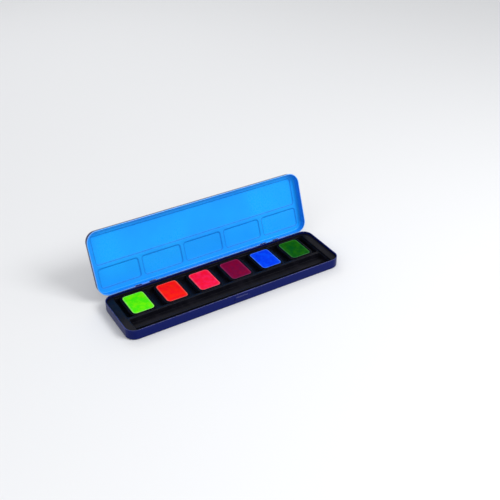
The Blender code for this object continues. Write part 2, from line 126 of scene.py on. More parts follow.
class Bench:
    """One mesh on the bench, shaped in edit mode with its elements picked by place or normal."""

    def __init__(self, obj: bpy.types.Object, name: str) -> None:
        """Takes an object in hand.

        Args:
            obj: A mesh object, alone in the selection.
            name: What the piece is called.
        """
        self.obj = obj
        obj.name = name
        obj.data.name = name

    @classmethod
    def block(cls, name: str, low: Point, high: Point) -> "Bench":
        """Starts a piece as a cube stretched between two corners.

        Args:
            name: What the piece is called.
            low: Its lowest corner.
            high: Its highest corner.

        Returns:
            The bench with the block on it.
        """
        low_corner, high_corner = Vector(low), Vector(high)
        deselect()
        bpy.ops.mesh.primitive_cube_add(size=1, location=(low_corner + high_corner) / 2)
        bench = cls(bpy.context.object, name)
        bench.obj.scale = high_corner - low_corner
        return bench.settle()

    @classmethod
    def slab(
        cls, name: str, plan: "Plan", low: float, high: float, steps: int,
        middle: Sequence[float] = (0, 0),
    ) -> "Bench":
        """Starts a piece as a block of a plan, with round corners.

        Args:
            name: What the piece is called.
            plan: Its outline from above.
            low: The height of its underside.
            high: The height of its top.
            steps: The facets of each corner.
            middle: Where the plan's middle lies.

        Returns:
            The bench with the slab on it.
        """
        x, y = middle
        far = (x + plan.half_x, y + plan.half_y, high)
        bench = cls.block(name, (x - plan.half_x, y - plan.half_y, low), far)
        return bench.bevel(is_upright, plan.corner, steps)

    @classmethod
    def plate(cls, name: str, plan: "Plan", centre: Point, steps: int) -> "Bench":
        """Starts a piece as a flat plate of a plan.

        Args:
            name: What the piece is called.
            plan: Its outline from above.
            centre: The middle of the plate.
            steps: The facets of each corner.

        Returns:
            The bench with the plate on it.
        """
        deselect()
        bpy.ops.mesh.primitive_plane_add(size=2, location=centre)
        bench = cls(bpy.context.object, name)
        bench.obj.scale = (plan.half_x, plan.half_y, 1)
        bench.settle()
        bench.pick(Pick.VERT)
        bpy.ops.mesh.bevel(offset_type="OFFSET", offset=plan.corner, segments=steps, affect="VERTICES")
        return bench

    def settle(self) -> "Bench":
        """Puts the object's place and scale into its mesh.

        Returns:
            The same bench.
        """
        select(self.obj)
        bpy.ops.object.transform_apply(location=True, rotation=True, scale=True)
        return self

    def pick(self, kind: Pick, test: Test = lambda element: True) -> None:
        """Selects the elements that pass a test, and no others.

        Args:
            kind: Whether vertices, edges or faces are picked.
            test: Says of an element whether it is wanted.
        """
        if self.obj.mode != "EDIT":
            select(self.obj)
            bpy.ops.object.mode_set(mode="EDIT")
        bpy.ops.mesh.select_mode(type=kind.name)
        bpy.ops.mesh.select_all(action="DESELECT")
        shape = bmesh.from_edit_mesh(self.obj.data)
        for element in getattr(shape, kind.value):
            if test(element):
                element.select_set(True)
        shape.select_flush_mode()
        bmesh.update_edit_mesh(self.obj.data)

    def leave(self) -> None:
        """Goes back to object mode."""
        if self.obj.mode == "EDIT":
            bpy.ops.object.mode_set(mode="OBJECT")

    def bevel(self, test: Test, width: float, steps: int) -> "Bench":
        """Rounds the edges that pass a test.

        Args:
            test: Says whether an edge is rounded.
            width: How far the round reaches from the edge.
            steps: Its facets.

        Returns:
            The same bench.
        """
        self.pick(Pick.EDGE, test)
        bpy.ops.mesh.bevel(offset_type="OFFSET", offset=width, segments=steps, affect="EDGES")
        return self

    def remove(self, kind: Pick, test: Test, only_face: bool = False) -> None:
        """Deletes the elements that pass a test.

        Args:
            kind: Whether vertices, edges or faces are tested.
            test: Says whether an element goes.
            only_face: Whether the edges of a deleted face stay.
        """
        self.pick(kind, test)
        bpy.ops.mesh.delete(type="ONLY_FACE" if only_face else kind.name)

    def inset(self, thickness: float, depth: float = 0.0) -> None:
        """Draws the selected faces in by a thickness, and moves them along their normals by a depth."""
        bpy.ops.mesh.inset(thickness=thickness, depth=depth, use_boundary=True, use_even_offset=True)

    def shrink(self, plan: "Plan", draft: float, centre: Point = (0, 0, 0)) -> None:
        """Scales the selection about a centre, as much as a draft draws the sides of a plan in."""
        shares = (1 - draft / plan.half_x, 1 - draft / plan.half_y, 1)
        bpy.ops.transform.resize(value=shares, center_override=centre)

    def extrude(self, offset: Sequence[float]) -> None:
        """Extrudes the selected faces or edges by an offset."""
        bpy.ops.mesh.extrude_region_move(TRANSFORM_OT_translate={"value": tuple(offset)})

    def turn_out(self) -> "Bench":
        """Merges doubles and turns every face outwards.

        Returns:
            The same bench.
        """
        self.pick(Pick.FACE)
        bpy.ops.mesh.remove_doubles(threshold=MERGE)
        bpy.ops.mesh.normals_make_consistent(inside=False)
        return self

    def move_verts(self, place: Callable[[Vector], Sequence[float]]) -> None:
        """Moves every vertex by a rule, as sculpting does.

        Args:
            place: Gives the new place of a vertex from its old one.
        """
        self.leave()
        for vert in self.obj.data.vertices:
            vert.co = place(vert.co)

    def apply(self, kind: str, **settings: Any) -> "Bench":
        """Adds a modifier and applies it.

        Args:
            kind: The modifier's type.
            **settings: Its properties.

        Returns:
            The same bench.
        """
        self.leave()
        select(self.obj)
        modifier = self.obj.modifiers.new(kind.lower(), kind)
        for name, value in settings.items():
            setattr(modifier, name, value)
        bpy.ops.object.modifier_apply(modifier=modifier.name)
        return self

    def cut(self, cutter: "Bench") -> None:
        """Takes another piece's solid out of this one.

        Args:
            cutter: The piece to cut with, which is used up.
        """
        cutter.leave()
        self.apply("BOOLEAN", operation="DIFFERENCE", object=cutter.obj)
        bpy.data.objects.remove(cutter.obj)

    def join(self, others: Sequence["Bench"]) -> None:
        """Joins other pieces into this one.

        Args:
            others: The pieces to take in, which are used up.
        """
        for bench in (self, *others):
            bench.leave()
        deselect()
        for bench in (self, *others):
            bench.obj.select_set(True)
        bpy.context.view_layer.objects.active = self.obj
        bpy.ops.object.join()

    def twin(self, name: str, offset: Sequence[float] = (0, 0, 0)) -> "Bench":
        """Copies the piece, with a mesh of its own.

        Args:
            name: What the copy is called.
            offset: How far off it stands.

        Returns:
            The bench with the copy on it.
        """
        self.leave()
        copied = self.obj.copy()
        copied.data = self.obj.data.copy()
        bpy.context.scene.collection.objects.link(copied)
        copied.data.transform(Matrix.Translation(offset))
        return Bench(copied, name)

    def mark(self, name: str, rule: Callable[[Vector], float]) -> None:
        """Stores a number at every vertex, which a finish reads as an attribute.

        Args:
            name: The attribute's name.
            rule: Gives the number from a vertex's place.
        """
        self.leave()
        mesh = self.obj.data
        attribute = mesh.attributes.new(name, "FLOAT", "POINT")
        attribute.data.foreach_set("value", [rule(vert.co) for vert in mesh.vertices])

    def finish(
        self, finish: "Finish", body: str, slot: str, nodes: Sequence[str], angle: float = SHEET_ANGLE,
    ) -> None:
        """Smooths the piece, dresses it and lets it ride on its body.

        Args:
            finish: What its surface is like.
            body: The body that carries it.
            slot: The record's material slot; not used.
            nodes: The solids that it stands for.
            angle: The angle in degrees past which an edge stays sharp.
        """
        self.leave()
        select(self.obj)
        bpy.ops.object.shade_smooth_by_angle(angle=math.radians(angle))
        self.obj.data.materials.clear()
        self.obj.data.materials.append(finish.material(self.obj.name))
        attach(self.obj, body)
        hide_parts(*nodes)
        log.info("%s rides on %s, %d faces", self.obj.name, body, len(self.obj.data.polygons))


def clamped(value: float) -> float:
    """Holds a number between zero and one."""
    return min(max(value, 0.0), 1.0)


def eased(value: float) -> float:
    """Goes from zero to one as a number does, easing in and out."""
    share = clamped(value)
    return share * share * (3 - 2 * share)


def is_upright(edge: bmesh.types.BMEdge) -> bool:
    """Says whether an edge runs up and down."""
    low, high = (vert.co for vert in edge.verts)
    return (low.xy - high.xy).length < MERGE < abs(low.z - high.z)


def faces_up(face: bmesh.types.BMFace) -> bool:
    """Says whether a face looks straight up."""
    return face.normal.z > FLAT


def faces_down(face: bmesh.types.BMFace) -> bool:
    """Says whether a face looks straight down."""
    return face.normal.z < -FLAT


def faces_front(face: bmesh.types.BMFace) -> bool:
    """Says whether a face looks straight to the front."""
    return face.normal.y < -FLAT


def rims(test: Test) -> Test:
    """Makes the test for the edges between a face that passes a test and one that doesn't."""
    return lambda edge: sorted(test(face) for face in edge.link_faces) == [False, True]


def level(height: float) -> Test:
    """Makes the test for vertices at a height."""
    return lambda vert: abs(vert.co.z - height) < MERGE


def lips(height: float) -> Test:
    """Makes the test for edges at a height beside a face that doesn't look straight up."""
    at_height = level(height)
    return lambda edge: all(map(at_height, edge.verts)) and not all(map(faces_up, edge.link_faces))


# Finishes


class Reading:
    """A number from a shader socket, on which arithmetic adds Math nodes."""

    def __init__(self, board: "Board", socket: bpy.types.NodeSocket) -> None:
        """Wraps an output socket of a node on a board."""
        self.board = board
        self.socket = socket

    def _math(self, operation: str, *values: Any) -> "Reading":
        """Adds a Math node on some values."""
        added = self.board.node("ShaderNodeMath", {"operation": operation}, dict(enumerate(values)))
        return Reading(self.board, added.outputs[0])

    def __add__(self, other: Any) -> "Reading":
        """Adds."""
        return self._math("ADD", self, other)

    def __rsub__(self, other: Any) -> "Reading":
        """Is taken away from a number."""
        return self._math("SUBTRACT", other, self)

    def __mul__(self, other: Any) -> "Reading":
        """Multiplies."""
        return self._math("MULTIPLY", self, other)

    __radd__ = __add__
    __rmul__ = __mul__

    def clipped(self, low: float, high: float) -> "Reading":
        """Spreads the stretch from low to high over zero to one, smoothly.

        Args:
            low: What becomes zero.
            high: What becomes one.

        Returns:
            The new reading.
        """
        settings = {"interpolation_type": "SMOOTHSTEP"}
        given = {"Value": self, "From Min": low, "From Max": high}
        stretched = self.board.node("ShaderNodeMapRange", settings, given)
        return Reading(self.board, stretched.outputs["Result"])


class Board:
    """The node board of a material or of the world, round its shader."""

    def __init__(
        self, name: str, store: Any = bpy.data.materials, shader: str = "Principled BSDF",
    ) -> None:
        """Starts a material, or a world.

        Args:
            name: Its name.
            store: Where Blender keeps such things.
            shader: The shader that it starts with.
        """
        self.owner = store.new(name)
        self.owner.use_nodes = True
        self.tree = self.owner.node_tree
        self.shader = self.tree.nodes[shader]

    def node(
        self, kind: str, settings: dict[str, Any] | None = None, given: dict[Any, Any] | None = None,
    ) -> Any:
        """Adds a node, sets it and feeds its inputs.

        Args:
            kind: The node's type.
            settings: Its properties, set first.
            given: The values or readings of its inputs, by name or place.

        Returns:
            The node.
        """
        added = self.tree.nodes.new(kind)
        for name, value in (settings or {}).items():
            setattr(added, name, value)
        for key, value in (given or {}).items():
            self.feed(added.inputs[key], value)
        return added

    def feed(self, socket: bpy.types.NodeSocket, value: Any) -> None:
        """Links a reading or an output to a socket, or sets a plain value on it.

        Args:
            socket: The input.
            value: What it gets.
        """
        if isinstance(value, Reading):
            self.tree.links.new(value.socket, socket)
        elif isinstance(value, bpy.types.NodeSocket):
            self.tree.links.new(value, socket)
        elif isinstance(value, tuple) and len(value) == 3 and socket.type == "RGBA":
            socket.default_value = (*value, 1.0)
        else:
            socket.default_value = value

    def set(self, **values: Any) -> None:
        """Sets or links the shader's inputs, whose names have underscores for spaces."""
        for name, value in values.items():
            self.feed(self.shader.inputs[name.replace("_", " ").title().replace("Ior", "IOR")], value)

    def grain(
        self, size: float, detail: float = 2.0, stretch: Point = (1, 1, 1), roughness: float = 0.5,
    ) -> Reading:
        """Reads a cloudy noise from the object's own coordinates.

        Args:
            size: The width of one cloud, in metres.
            detail: How many finer layers it has.
            stretch: How many times longer it is along each axis.
            roughness: How strong the finer layers are.

        Returns:
            The noise, from zero to one.
        """
        place = self.node("ShaderNodeTexCoord").outputs["Object"]
        scale = tuple(1 / share for share in stretch)
        mapped = self.node("ShaderNodeMapping", None, {"Vector": place, "Scale": scale}).outputs[0]
        given = {"Vector": mapped, "Scale": 1 / size, "Detail": detail, "Roughness": roughness}
        return Reading(self, self.node("ShaderNodeTexNoise", None, given).outputs[0])

    def attribute(self, name: str) -> Reading:
        """Reads a number stored at the vertices."""
        return Reading(self, self.node("ShaderNodeAttribute", {"attribute_name": name}).outputs["Fac"])

    def mix(self, share: Any, first: Any, second: Any) -> bpy.types.NodeSocket:
        """Mixes two colours.

        Args:
            share: How much of the second there is.
            first: A colour, or the output that gives one.
            second: The other one.

        Returns:
            The mixed colour's output.
        """
        given = {"Factor": share, MIX_FIRST: first, MIX_SECOND: second}
        return self.node("ShaderNodeMix", {"data_type": "RGBA"}, given).outputs[MIX_RESULT]

    def bump(self, height: Reading, depth: float, strength: float) -> None:
        """Raises the surface by a reading, of a depth in metres."""
        given = {"Height": height, "Distance": depth, "Strength": strength}
        self.set(normal=self.node("ShaderNodeBump", None, given).outputs[0])


@dataclass(frozen=True)
class Finish:
    """A surface of one colour, which the kinds below refine."""

    colour: Colour

    def material(self, name: str) -> bpy.types.Material:
        """Makes the material of one piece.

        Args:
            name: The piece's name.

        Returns:
            The material.
        """
        board = Board(f"{name}_finish")
        self.dress(board)
        return board.owner

    def dress(self, board: Board) -> None:
        """Sets the shader up.

        Args:
            board: The material's board.
        """
        raise NotImplementedError


@dataclass(frozen=True)
class Lacquer(Finish):
    """Gloss stoving lacquer on tin plate, with faint smears and fine hairlines."""

    scuffed: Colour = (0.05, 0.06, 0.16)

    def dress(self, board: Board) -> None:
        """Sets the shader up.

        Args:
            board: The material's board.
        """
        smears = board.grain(18 * MM, detail=3, stretch=(2.2, 1, 1)).clipped(0.42, 0.72)
        hairs = board.grain(0.5 * MM, detail=1, stretch=(26, 1, 1)).clipped(0.66, 0.74) * smears
        board.set(
            base_color=board.mix(hairs * 0.2, self.colour, self.scuffed),
            roughness=0.13 + smears * 0.09 + hairs * 0.08,
            specular_ior_level=0.07,
        )
        board.bump(board.grain(1.1 * MM, detail=1), depth=0.012 * MM, strength=0.5)


@dataclass(frozen=True)
class Enamel(Finish):
    """Smooth enamel of the mixing wells, with painted shade on the skirt, on the slopes and along the hem.
    """

    cloudy: Colour
    # painted shade: the dark colour painted on the slopes and along the hem
    stained: Colour
    # painted shade of the skirt
    thin: Colour

    def dress(self, board: Board) -> None:
        """Sets the shader up.

        Args:
            board: The material's board.
        """
        clouds = board.grain(48 * MM, detail=2.5).clipped(0.30, 0.70)
        fine = board.grain(1.8 * MM, detail=3).clipped(0.35, 0.65)
        ridge = board.attribute("ridge")
        slope = ridge * (1 - ridge) * 4
        ground = board.mix(clouds * 0.5, self.colour, self.cloudy)
        # painted shade: the wells' slopes are darkened in the colour
        stained = board.mix(slope * (0.40 + fine * 0.20), ground, self.stained)
        # painted shade: the skirt is darkened, most of all at the lid's ends
        skirt_shaded = board.mix(board.attribute("skirt") * 0.6, stained, self.thin)
        board.set(
            # painted shade: a dark line along the hem
            base_color=board.mix(board.attribute("seam") * 0.8, skirt_shaded, self.stained),
            roughness=0.24 + clouds * 0.07 + fine * 0.05 + slope * 0.35,
            specular_ior_level=0.2,
        )
        board.bump(board.grain(2.4 * MM, detail=1), depth=0.015 * MM, strength=0.3)


@dataclass(frozen=True)
class Hem(Finish):
    """The rolled edge of the sheet, paler in patches: partly wear where the enamel is thin, partly a
    painted highlight along the roll.
    """

    bare: Colour = (0.40, 0.45, 0.88)

    def dress(self, board: Board) -> None:
        """Sets the shader up.

        Args:
            board: The material's board.
        """
        rubbed_and_highlit = board.grain(3.0 * MM, detail=3, stretch=(4, 4, 4)).clipped(0.40, 0.70)
        board.set(
            # partly wear, partly painted highlight: paler patches along the roll
            base_color=board.mix(rubbed_and_highlit * 0.6, self.colour, self.bare),
            metallic=rubbed_and_highlit * 0.2,
            roughness=0.26 + rubbed_and_highlit * 0.12,
            specular_ior_level=0.4,
        )
        board.bump(board.grain(0.8 * MM, detail=1), depth=0.01 * MM, strength=0.5)


@dataclass(frozen=True)
class Moulding(Finish):
    """Black moulded plastic with a fine eroded grain."""

    greyed: Colour = (0.016, 0.015, 0.024)

    def dress(self, board: Board) -> None:
        """Sets the shader up.

        Args:
            board: The material's board.
        """
        dust = board.grain(9 * MM, detail=4).clipped(0.45, 0.80)
        board.set(
            base_color=board.mix(dust * 0.45, self.colour, self.greyed),
            roughness=0.30 + dust * 0.18,
            specular_ior_level=0.09,
        )
        board.bump(board.grain(0.28 * MM), depth=0.02 * MM, strength=0.6)


@dataclass(frozen=True)
class Watercolour(Finish):
    """A pressed cake of watercolour, paler at its edge and flecked where the brush has worn it."""

    edge: Colour
    fleck: Colour
    shade: float = 0.78

    def dress(self, board: Board) -> None:
        """Sets the shader up.

        Args:
            board: The material's board.
        """
        edge = board.attribute("edge")
        blots = board.grain(5.5 * MM, detail=4, roughness=0.6).clipped(0.38, 0.66)
        grit = board.grain(0.45 * MM, detail=3)
        shade = tuple(channel * self.shade for channel in self.colour)
        shaded = board.grain(3.2 * MM, detail=3).clipped(0.45, 0.75) * 0.4
        ground = board.mix(shaded, self.colour, shade)
        flecked = board.mix(blots * (0.55 + grit * 0.3), ground, self.fleck)
        paler = edge * (0.7 + blots * 0.3) + grit.clipped(0.60, 0.76) * 0.08
        board.set(
            base_color=board.mix(paler, flecked, self.edge),
            roughness=0.52 + blots * 0.18 + edge * 0.1,
            specular_ior_level=0.05,
        )
        board.bump(grit + board.grain(1.6 * MM, detail=3) * 0.8, depth=0.05 * MM, strength=0.6)


@dataclass(frozen=True)
class Steel(Finish):
    """Drawn steel wire."""

    def dress(self, board: Board) -> None:
        """Sets the shader up.

        Args:
            board: The material's board.
        """
        drawn = board.grain(0.12 * MM, stretch=(40, 1, 1))
        board.set(base_color=self.colour, metallic=1.0, roughness=0.24 + drawn * 0.16)
        board.bump(drawn, depth=0.004 * MM, strength=0.6)


TIN = Lacquer((0.003, 0.008, 0.095))
# The lining's third colour is painted shade, on the slopes and along the hem.
LINING = Enamel(
    (0.005, 0.37, 0.95), cloudy=(0.003, 0.26, 0.90), stained=(0.002, 0.10, 0.52),
    # the fourth colour is painted shade on the skirt
    thin=(0.02, 0.13, 0.66),
)
# The hem's and the base rim's paler colours are partly wear and partly a painted highlight; the rim is
# also painted lighter than the tin.
HEM = Hem((0.06, 0.38, 0.95), bare=(0.22, 0.38, 0.90))
RIM = Hem((0.006, 0.012, 0.11), bare=(0.07, 0.08, 0.32))
PLASTIC = Moulding((0.004, 0.004, 0.007))
WIRE = Steel((0.56, 0.56, 0.58))


# Sheet metal


@dataclass(frozen=True)
class Plan:
    """A rectangle with round corners, seen from above and centred on the box."""

    half_x: float
    half_y: float
    corner: float

    def grown(self, margin: float) -> "Plan":
        """The plan drawn out by a margin on every side, or in by a negative one."""
        return Plan(self.half_x + margin, self.half_y + margin, self.corner + margin)

    def edge_distance(self, x: float, y: float) -> float:
        """How far inside the outline a point lies.

        Args:
            x: Its place along the box.
            y: Its place across the box.

        Returns:
            The distance, negative outside.
        """
        reach_x = abs(x) - (self.half_x - self.corner)
        reach_y = abs(y) - (self.half_y - self.corner)
        outside = math.hypot(max(reach_x, 0), max(reach_y, 0))
        return self.corner - outside - min(max(reach_x, reach_y), 0)


@dataclass(frozen=True)
class Sheet:
    """What the pressed sheet of both tins shares."""

    thickness: float = 0.3 * MM
    clearance: float = 0.3 * MM
    press: float = 1.5 * MM
    press_steps: int = 6
    corner_steps: int = 20
    roll_sides: int = 3


SHEET = Sheet()


def rolled_edge(name: str, plan: Plan, height: float, radius: float) -> Bench:
    """Bends a wire-like roll round a plan.

    Args:
        name: What the piece is called.
        plan: The line of the roll's middle.
        height: Its height.
        radius: Its outer radius.

    Returns:
        The bench with the roll on it.
    """
    bench = Bench.plate(name, plan, (0, 0, height), SHEET.corner_steps)
    bench.remove(Pick.FACE, lambda face: True, only_face=True)
    bench.leave()
    select(bench.obj)
    bpy.ops.object.convert(target="CURVE")
    curve = bpy.context.object
    curve.data.bevel_depth = radius
    curve.data.bevel_resolution = SHEET.roll_sides
    bpy.ops.object.convert(target="MESH")
    return Bench(bpy.context.object, name).turn_out()


@dataclass(frozen=True)
class Hinge:
    """The two wire hinges: where they are, and how the sheets curl round their pins."""

    place: Vector
    open_angle: float
    spacing: float = 140 * MM
    outer: float = 6 * MM
    middle: float = 8 * MM
    pin: float = 0.65 * MM
    proud: float = 0.4 * MM
    leaf: float = 3.2 * MM
    sink: float = 0.1 * MM
    step: float = math.radians(15)
    base_arc: tuple[float, float] = (200, -120)
    lid_arc: tuple[float, float] = (180, 480)

    @property
    def curl(self) -> float:
        """The radius of the middle of the curled sheet."""
        return self.pin + SHEET.clearance + SHEET.thickness / 2

    @property
    def sweep(self) -> float:
        """The radius that stays clear round a curl."""
        return self.curl + SHEET.thickness / 2 + SHEET.clearance

    @property
    def half_length(self) -> float:
        """Half of the length of one hinge."""
        return self.middle / 2 + SHEET.clearance + self.outer

    def middle_x(self, side: Side) -> float:
        """Where the middle of one hinge lies along the box."""
        return side.value * self.spacing / 2

    def swing(self) -> Matrix:
        """The turn that takes the lid from shut to open."""
        there = Matrix.Translation(self.place)
        return there @ Matrix.Rotation(-self.open_angle, 4, "X") @ there.inverted()

    def strip(
        self, name: str, leaf_y: float, leaf_z: Sequence[float], arc: Sequence[float],
        span: Sequence[float],
    ) -> Bench:
        """Bends one strip of sheet round the pin, extruding its edge step by step.

        Args:
            name: What the piece is called.
            leaf_y: How far its flat leaf is behind the pin.
            leaf_z: The heights at which the leaf starts and ends, over the pin.
            arc: The angles in degrees at which the curl starts and ends.
            span: Its two ends along the box.

        Returns:
            The bench with the strip on it.
        """
        start, end = (math.radians(angle) for angle in arc)
        count = round(abs(end - start) / self.step)
        turns = [start + (end - start) * place / count for place in range(count + 1)]
        path = [(leaf_y, height) for height in leaf_z]
        path += [(self.curl * math.cos(turn), self.curl * math.sin(turn)) for turn in turns]
        (first_y, first_z), low_x, high_x = path[0], *span
        centre = self.place + Vector(((low_x + high_x) / 2, first_y, first_z))
        deselect()
        bpy.ops.mesh.primitive_plane_add(size=1, location=centre)
        bench = Bench(bpy.context.object, name)
        bench.obj.scale = (high_x - low_x, self.sink, 1)
        bench.settle()
        bench.remove(Pick.VERT, lambda vert: vert.co.y > centre.y)
        bench.pick(Pick.EDGE)
        for (old_y, old_z), (new_y, new_z) in zip(path, path[1:]):
            bench.extrude((0, new_y - old_y, new_z - old_z))
        bench.turn_out()
        return bench.apply("SOLIDIFY", thickness=SHEET.thickness, offset=0, use_even_offset=True)


@dataclass
class BaseTin:
    """The pressed base with its rolled rim, thumb bead and the outer curls of the hinges."""

    hinge: Hinge
    plan: Plan = Plan(115.6 * MM, 30.5 * MM, 10 * MM)
    height: float = 10.9 * MM
    roll: float = 0.4 * MM
    bead: Plan = Plan(8.8 * MM, 2.8 * MM, 2.8 * MM)
    bead_height: float = 5.6 * MM
    bead_proud: float = 1.0 * MM
    bead_slope: float = 1.1 * MM
    bead_margin: float = 1.1
    bead_cuts: int = 84

    def shell(self) -> Bench:
        """Presses the shell.

        Returns:
            The bench with the shell on it.
        """
        bench = Bench.slab("base_shell", self.plan, 0, self.height - self.roll, SHEET.corner_steps)
        bench.bevel(rims(faces_down), SHEET.press, SHEET.press_steps)
        bench.remove(Pick.FACE, faces_up)
        self.press_bead(bench)
        return bench.apply("SOLIDIFY", thickness=SHEET.thickness, offset=-1, use_even_offset=True)

    def press_bead(self, bench: Bench) -> None:
        """Presses the thumb bead out of the front wall.

        Args:
            bench: The bench with the open shell on it.
        """
        front = -self.plan.half_y
        reach = self.bead.half_x * self.bead_margin
        for side in (-1, 1):
            bench.pick(Pick.FACE, faces_front)
            bpy.ops.mesh.bisect(plane_co=(side * reach, front, 0), plane_no=(1, 0, 0))
        bench.pick(
            Pick.FACE, lambda face: faces_front(face) and abs(face.calc_center_median().x) < reach,
        )
        bpy.ops.mesh.subdivide(number_cuts=self.bead_cuts, quadcorner="INNERVERT")
        bench.move_verts(self.bead_place)

    def bead_place(self, place: Vector) -> Vector:
        """Where a point of the front wall goes when the bead is pressed.

        Args:
            place: The point before.

        Returns:
            The point after.
        """
        if place.y > -self.plan.half_y + MERGE:
            return place
        inside = self.bead.edge_distance(place.x, place.z - self.bead_height)
        return Vector((place.x, place.y - self.bead_proud * eased(inside / self.bead_slope), place.z))

    def build(self) -> None:
        """Builds the base and sets it on its body."""
        self.shell().finish(TIN, "base", "tin_lacquer", ["base_tin"])
        rim = rolled_edge("base_rim", self.plan.grown(-self.roll), self.height - self.roll, self.roll)
        rim.finish(RIM, "base", "tin_lacquer", ["base_tin"])
        hinge = self.hinge
        leaf_y = self.plan.half_y + SHEET.thickness / 2 - hinge.sink - hinge.place.y
        leaf_top = -hinge.curl - SHEET.thickness / 2
        near = hinge.middle / 2 + SHEET.clearance
        leaf_z = (leaf_top - hinge.leaf, leaf_top)
        for side in Side:
            for end in Side:
                reaches = (near, hinge.half_length)
                span = sorted(hinge.middle_x(side) + end.value * reach for reach in reaches)
                name = f"base_curl_{side.name}_{end.name}".lower()
                strip = hinge.strip(name, leaf_y, leaf_z, hinge.base_arc, span)
                strip.finish(TIN, "base", "tin_lacquer", ["base_tin"])


@dataclass(frozen=True)
class Well:
    """One pressed well of the lid: its outline and its middle."""

    plan: Plan
    x: float
    y: float

    def inside(self, place: Vector) -> float:
        """How far inside the well's outline a point lies."""
        return self.plan.edge_distance(place.x - self.x, place.y - self.y)


@dataclass
class LidTin:
    """The lid: lacquered outside, enamelled inside, with pressed wells and a rolled hem.

    A dark line is painted along the hem as painted shade, and its two heights over the hem say where it
    starts to fade and where it is gone.
    """

    hinge: Hinge
    base: BaseTin
    height: float = 8.0 * MM
    rim_below_pin: float = 0.4 * MM
    bore: float = 0.15 * MM
    wells: int = 5
    border: float = 3.2 * MM
    ridge: float = 2.4 * MM
    press: float = 0.8 * MM
    slope: float = 1.7 * MM
    seam: tuple[float, float] = (1.0 * MM, 1.25 * MM)
    # the share of the painted skirt shade on the long sides
    long_thin: float = 0.4
    well_corner: float = 3.6 * MM
    well_steps: int = 8
    slope_steps: int = 8
    row_share: float = 0.41
    coat: float = 0.1 * MM
    coat_gap: float = 0.01 * MM

    @property
    def plan(self) -> Plan:
        """The outline of the lid's skirt."""
        return self.base.plan.grown(SHEET.clearance + SHEET.thickness)

    @property
    def rim(self) -> float:
        """The height of the shut lid's lowest edge."""
        return self.hinge.place.z - self.rim_below_pin

    @property
    def top(self) -> float:
        """The height of the shut lid's flat."""
        return self.rim + self.height

    @property
    def hem(self) -> float:
        """The outer radius of the rolled hem."""
        return self.bore + SHEET.thickness

    def layout(self) -> list[Well]:
        """Lays the long field and the row of wells out on the flat.

        Returns:
            The wells, the field first.
        """
        flat = self.plan.grown(-SHEET.press)
        low_y, high_y = self.border - flat.half_y, flat.half_y - self.border
        run = high_y - low_y - self.ridge
        deep = run * self.row_share / 2
        field_deep = run / 2 - deep
        length = 2 * (flat.half_x - self.border)
        wide = (length - (self.wells - 1) * self.ridge) / self.wells / 2
        found = [Well(Plan(length / 2, field_deep, self.well_corner), 0, low_y + field_deep)]
        for place in range(self.wells):
            x = (place - (self.wells - 1) / 2) * (2 * wide + self.ridge)
            found.append(Well(Plan(wide, deep, self.well_corner), x, high_y - deep))
        return found

    def sheet(self) -> Bench:
        """Presses the lid's sheet, without its thickness.

        Returns:
            The bench with the sheet on it, shut.
        """
        low, top = self.rim + self.hem, self.top
        bench = Bench.slab("lid_sheet", self.plan, low, top, SHEET.corner_steps)
        bench.bevel(rims(faces_up), SHEET.press, SHEET.press_steps)
        bench.remove(Pick.FACE, faces_down)
        bench.remove(Pick.FACE, faces_up, only_face=True)
        for height in self.seam:
            bench.pick(Pick.FACE)
            bpy.ops.mesh.bisect(plane_co=(0, 0, low + height), plane_no=(0, 0, 1))
        wells = self.layout()
        plates = [Bench.plate("well", well.plan, (well.x, well.y, top), self.well_steps) for well in wells]
        bench.join(plates)
        on_top = level(top)
        bench.pick(Pick.EDGE, lambda edge: edge.is_boundary and all(map(on_top, edge.verts)))
        bpy.ops.mesh.fill(use_beauty=True)
        bench.turn_out()
        for well in wells:
            self.press_well(bench, well)
        return bench

    def press_well(self, bench: Bench, well: Well) -> None:
        """Presses one well out of the flat, down a slope that eases in and out.

        Args:
            bench: The bench with the sheet on it.
            well: The well.
        """
        middle = Vector((well.x, well.y, self.top))
        bench.pick(
            Pick.FACE, lambda face: len(face.verts) > self.well_steps
            and (face.calc_center_median() - middle).length < SHEET.thickness,
        )
        rises = [self.press * eased(step / self.slope_steps) for step in range(self.slope_steps + 1)]
        for before, after in zip(rises, rises[1:]):
            bench.inset(self.slope / self.slope_steps, after - before)

    def ridge_share(self, place: Vector) -> float:
        """How much a point belongs to the raised ridges and borders between the wells.

        Args:
            place: A point of the shut lid.

        Returns:
            One on a ridge, zero on a well's floor.
        """
        if place.z < self.top - SHEET.press:
            return 0.0
        inside = max(well.inside(place) for well in self.layout())
        return 1 - clamped(inside / self.slope)

    def skirt_share(self, place: Vector) -> float:
        """How much painted shade a point of the skirt gets, more with depth below the flat and most of all
        at the lid's ends.

        Args:
            place: A point of the shut lid.

        Returns:
            Zero on the flat, one on the ends' skirt.
        """
        depth = clamped((self.top - place.z) / (2 * SHEET.press))
        end = clamped((abs(place.x) - self.plan.half_x) / self.plan.corner + 1)
        return depth * (self.long_thin + (1 - self.long_thin) * end)

    def notch(self, side: Side) -> Bench:
        """Makes the block that cuts the rear skirt clear of one hinge.

        Args:
            side: Which hinge.

        Returns:
            The bench with the cutter on it.
        """
        hinge = self.hinge
        half = hinge.half_length + hinge.proud + SHEET.clearance
        middle = hinge.middle_x(side)
        low = (middle - half, hinge.place.y - hinge.sweep, self.rim - self.hem)
        high = (middle + half, hinge.place.y + hinge.sweep, hinge.place.z + hinge.sweep)
        return Bench.block("notch", low, high)

    def swing_open(self, bench: Bench, finish: Finish, slot: str) -> None:
        """Swings a lid piece open and sets it on the lid.

        Args:
            bench: The bench with the shut piece on it.
            finish: What its surface is like.
            slot: The record's material slot.
        """
        bench.leave()
        bench.obj.data.transform(self.hinge.swing())
        bench.finish(finish, "lid", slot, ["lid_tin"])

